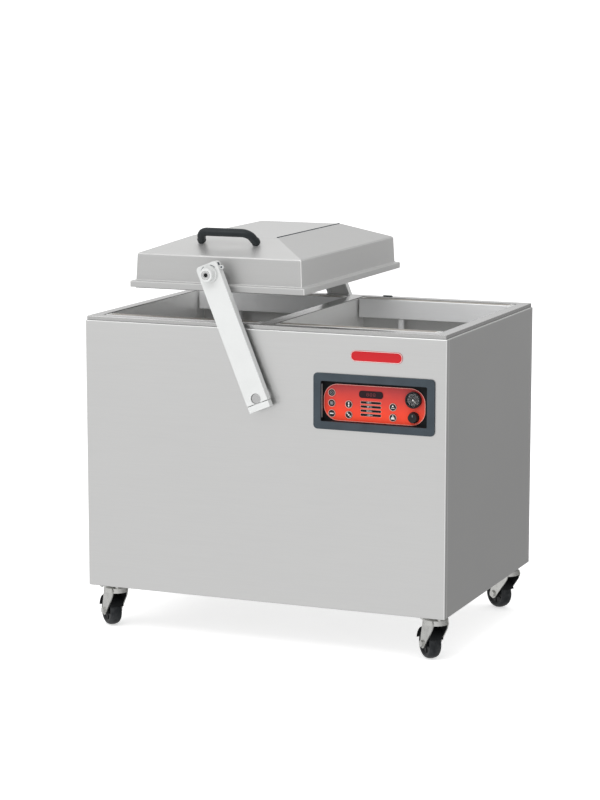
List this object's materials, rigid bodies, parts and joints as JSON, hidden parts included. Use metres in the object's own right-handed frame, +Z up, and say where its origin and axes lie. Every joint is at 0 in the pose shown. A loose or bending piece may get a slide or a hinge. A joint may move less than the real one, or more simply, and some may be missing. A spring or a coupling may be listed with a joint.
{
  "type": "double-chamber vacuum sealer",
  "caption": "Floor-standing stainless vacuum packing machine on casters: a swing-over lid on parallel arms serves two side-by-side chambers, with a recessed red control panel.",
  "frame": {"origin": "on the floor, under the middle of the cabinet and its casters", "axes": "+X to the operator's right, +Y from the operator towards the back, +Z up"},
  "size_m": [0.9646, 0.7786, 1.0299],
  "materials": {
    "brushed_stainless": "satin brushed",
    "chamber_stainless": "satin brushed, softly reflective",
    "white_paint": "smooth powder coat",
    "bright_steel": "turned and polished",
    "zinc_plate": "bright zinc plated",
    "aluminium": "satin extruded",
    "slate_plastic": "fine moulded texture",
    "black_plastic": "satin moulded",
    "red_overlay": "printed polyester film",
    "smoked_lens": "polished",
    "grey_rubber": "matt",
    "black_rubber": "satin",
    "needle_white": "matt",
    "pump_grey_paint": "satin",
    "cast_metal": "as cast",
    "board_green": "solder mask"
  },
  "bodies": {
    "cabinet": {"front_panel": "brushed_stainless", "back_panel": "brushed_stainless", "left_side_panel": "brushed_stainless", "right_side_panel": "brushed_stainless", "base_tray": "brushed_stainless", "top_deck": "brushed_stainless", "left_chamber_tub": "chamber_stainless", "right_chamber_tub": "chamber_stainless", "front_shaft_bearing": "bright_steel", "rear_shaft_bearing": "bright_steel", "control_bezel": "slate_plastic", "control_tray": "black_plastic", "control_overlay": "red_overlay", "display_window": "smoked_lens", "gauge_body": "black_plastic", "name_badge": "red_overlay", "vacuum_pump": "cast_metal", "pump_motor": "pump_grey_paint", "exhaust_filter": "pump_grey_paint", "vacuum_manifold": "zinc_plate", "seal_transformer": "cast_metal", "control_board": "board_green", "power_inlet": "black_plastic", "front_left_caster_plate": "zinc_plate", "front_right_caster_plate": "zinc_plate", "rear_left_caster_plate": "zinc_plate", "rear_right_caster_plate": "zinc_plate"},
    "arm_pair": {"cross_shaft": "bright_steel", "front_arm": "white_paint", "rear_arm": "white_paint", "front_arm_clamp": "white_paint", "rear_arm_clamp": "white_paint", "front_lid_pivot": "white_paint", "rear_lid_pivot": "white_paint"},
    "lid": {"lid_shell": "brushed_stainless", "lid_gasket": "grey_rubber", "lid_handle": "black_plastic", "front_counter_bar": "aluminium", "rear_counter_bar": "aluminium"},
    "left_front_seal_lifting": {"left_front_seal_bar": "aluminium"},
    "left_rear_seal_lifting": {"left_rear_seal_bar": "aluminium"},
    "right_front_seal_lifting": {"right_front_seal_bar": "aluminium"},
    "right_rear_seal_lifting": {"right_rear_seal_bar": "aluminium"},
    "needle": {"gauge_needle": "needle_white"},
    "knob": {"control_knob": "black_plastic"},
    "left_key_1_cap": {"left_key_1": "black_plastic"},
    "left_key_2_cap": {"left_key_2": "black_plastic"},
    "left_key_3_cap": {"left_key_3": "black_plastic"},
    "middle_key_1_cap": {"middle_key_1": "black_plastic"},
    "middle_key_2_cap": {"middle_key_2": "black_plastic"},
    "right_key_1_cap": {"right_key_1": "black_plastic"},
    "right_key_2_cap": {"right_key_2": "black_plastic"},
    "front_left_swivel": {"front_left_caster_fork": "zinc_plate"},
    "front_left_wheel": {"front_left_caster_wheel": "black_rubber"},
    "front_right_swivel": {"front_right_caster_fork": "zinc_plate"},
    "front_right_wheel": {"front_right_caster_wheel": "black_rubber"},
    "rear_left_swivel": {"rear_left_caster_fork": "zinc_plate"},
    "rear_left_wheel": {"rear_left_caster_wheel": "black_rubber"},
    "rear_right_swivel": {"rear_right_caster_fork": "zinc_plate"},
    "rear_right_wheel": {"rear_right_caster_wheel": "black_rubber"}
  },
  "joints": [
    {"name": "arm_swing", "type": "hinge", "parent": "cabinet", "child": "arm_pair", "pos_m": [0, 0, 0.63], "axis": [0, 1, 0], "range_deg": [-23.8, 68.2]},
    {"name": "lid_level", "type": "hinge", "parent": "arm_pair", "child": "lid", "pos_m": [-0.12091, 0, 0.92628], "axis": [0, 1, 0], "range_deg": [-68.2, 23.8]},
    {"name": "left_front_seal_bar_lift", "type": "slide", "parent": "cabinet", "child": "left_front_seal_lifting", "axis": [0, 0, 1], "range_m": [0, 0.012]},
    {"name": "left_rear_seal_bar_lift", "type": "slide", "parent": "cabinet", "child": "left_rear_seal_lifting", "axis": [0, 0, 1], "range_m": [0, 0.012]},
    {"name": "right_front_seal_bar_lift", "type": "slide", "parent": "cabinet", "child": "right_front_seal_lifting", "axis": [0, 0, 1], "range_m": [0, 0.012]},
    {"name": "right_rear_seal_bar_lift", "type": "slide", "parent": "cabinet", "child": "right_rear_seal_lifting", "axis": [0, 0, 1], "range_m": [0, 0.012]},
    {"name": "gauge_needle_turn", "type": "hinge", "parent": "cabinet", "child": "needle", "pos_m": [0.3884, -0.3265, 0.645], "axis": [0, 1, 0], "range_deg": [-270, 0], "stiffness_Nm_per_rad": 0.0002},
    {"name": "knob_turn", "type": "hinge", "parent": "cabinet", "child": "knob", "pos_m": [0.389, -0.327, 0.6028], "axis": [0, 1, 0], "range_deg": [-135, 135]},
    {"name": "left_key_1_press", "type": "slide", "parent": "cabinet", "child": "left_key_1_cap", "axis": [0, 1, 0], "range_m": [0, 0.0007], "stiffness_N_per_m": 250},
    {"name": "left_key_2_press", "type": "slide", "parent": "cabinet", "child": "left_key_2_cap", "axis": [0, 1, 0], "range_m": [0, 0.0007], "stiffness_N_per_m": 250},
    {"name": "left_key_3_press", "type": "slide", "parent": "cabinet", "child": "left_key_3_cap", "axis": [0, 1, 0], "range_m": [0, 0.0007], "stiffness_N_per_m": 250},
    {"name": "middle_key_1_press", "type": "slide", "parent": "cabinet", "child": "middle_key_1_cap", "axis": [0, 1, 0], "range_m": [0, 0.0007], "stiffness_N_per_m": 250},
    {"name": "middle_key_2_press", "type": "slide", "parent": "cabinet", "child": "middle_key_2_cap", "axis": [0, 1, 0], "range_m": [0, 0.0007], "stiffness_N_per_m": 250},
    {"name": "right_key_1_press", "type": "slide", "parent": "cabinet", "child": "right_key_1_cap", "axis": [0, 1, 0], "range_m": [0, 0.0007], "stiffness_N_per_m": 250},
    {"name": "right_key_2_press", "type": "slide", "parent": "cabinet", "child": "right_key_2_cap", "axis": [0, 1, 0], "range_m": [0, 0.0007], "stiffness_N_per_m": 250},
    {"name": "front_left_swivel_turn", "type": "hinge", "parent": "cabinet", "child": "front_left_swivel", "pos_m": [-0.431, -0.27, 0.1085], "axis": [0, 0, 1], "continuous": true},
    {"name": "front_left_wheel_roll", "type": "hinge", "parent": "front_left_swivel", "child": "front_left_wheel", "pos_m": [-0.45515, -0.24901, 0.038], "axis": [-0.6561, -0.7547, 0], "continuous": true},
    {"name": "front_right_swivel_turn", "type": "hinge", "parent": "cabinet", "child": "front_right_swivel", "pos_m": [0.431, -0.27, 0.1085], "axis": [0, 0, 1], "continuous": true},
    {"name": "front_right_wheel_roll", "type": "hinge", "parent": "front_right_swivel", "child": "front_right_wheel", "pos_m": [0.40837, -0.24737, 0.038], "axis": [-0.7071, -0.7071, 0], "continuous": true},
    {"name": "rear_left_swivel_turn", "type": "hinge", "parent": "cabinet", "child": "rear_left_swivel", "pos_m": [-0.431, 0.288, 0.1085], "axis": [0, 0, 1], "continuous": true},
    {"name": "rear_left_wheel_roll", "type": "hinge", "parent": "rear_left_swivel", "child": "rear_left_wheel", "pos_m": [-0.447, 0.31571, 0.038], "axis": [-0.866, -0.5, 0], "continuous": true},
    {"name": "rear_right_swivel_turn", "type": "hinge", "parent": "cabinet", "child": "rear_right_swivel", "pos_m": [0.431, 0.288, 0.1085], "axis": [0, 0, 1], "continuous": true},
    {"name": "rear_right_wheel_roll", "type": "hinge", "parent": "rear_right_swivel", "child": "rear_right_wheel", "pos_m": [0.40386, 0.30496, 0.038], "axis": [-0.5299, -0.848, 0], "continuous": true}
  ],
  "couplings": [
    {"joint": "lid_level", "follows": "arm_swing", "ratio": -1},
    {"joint": "left_rear_seal_bar_lift", "follows": "left_front_seal_bar_lift", "ratio": 1},
    {"joint": "right_rear_seal_bar_lift", "follows": "right_front_seal_bar_lift", "ratio": 1}
  ]
}
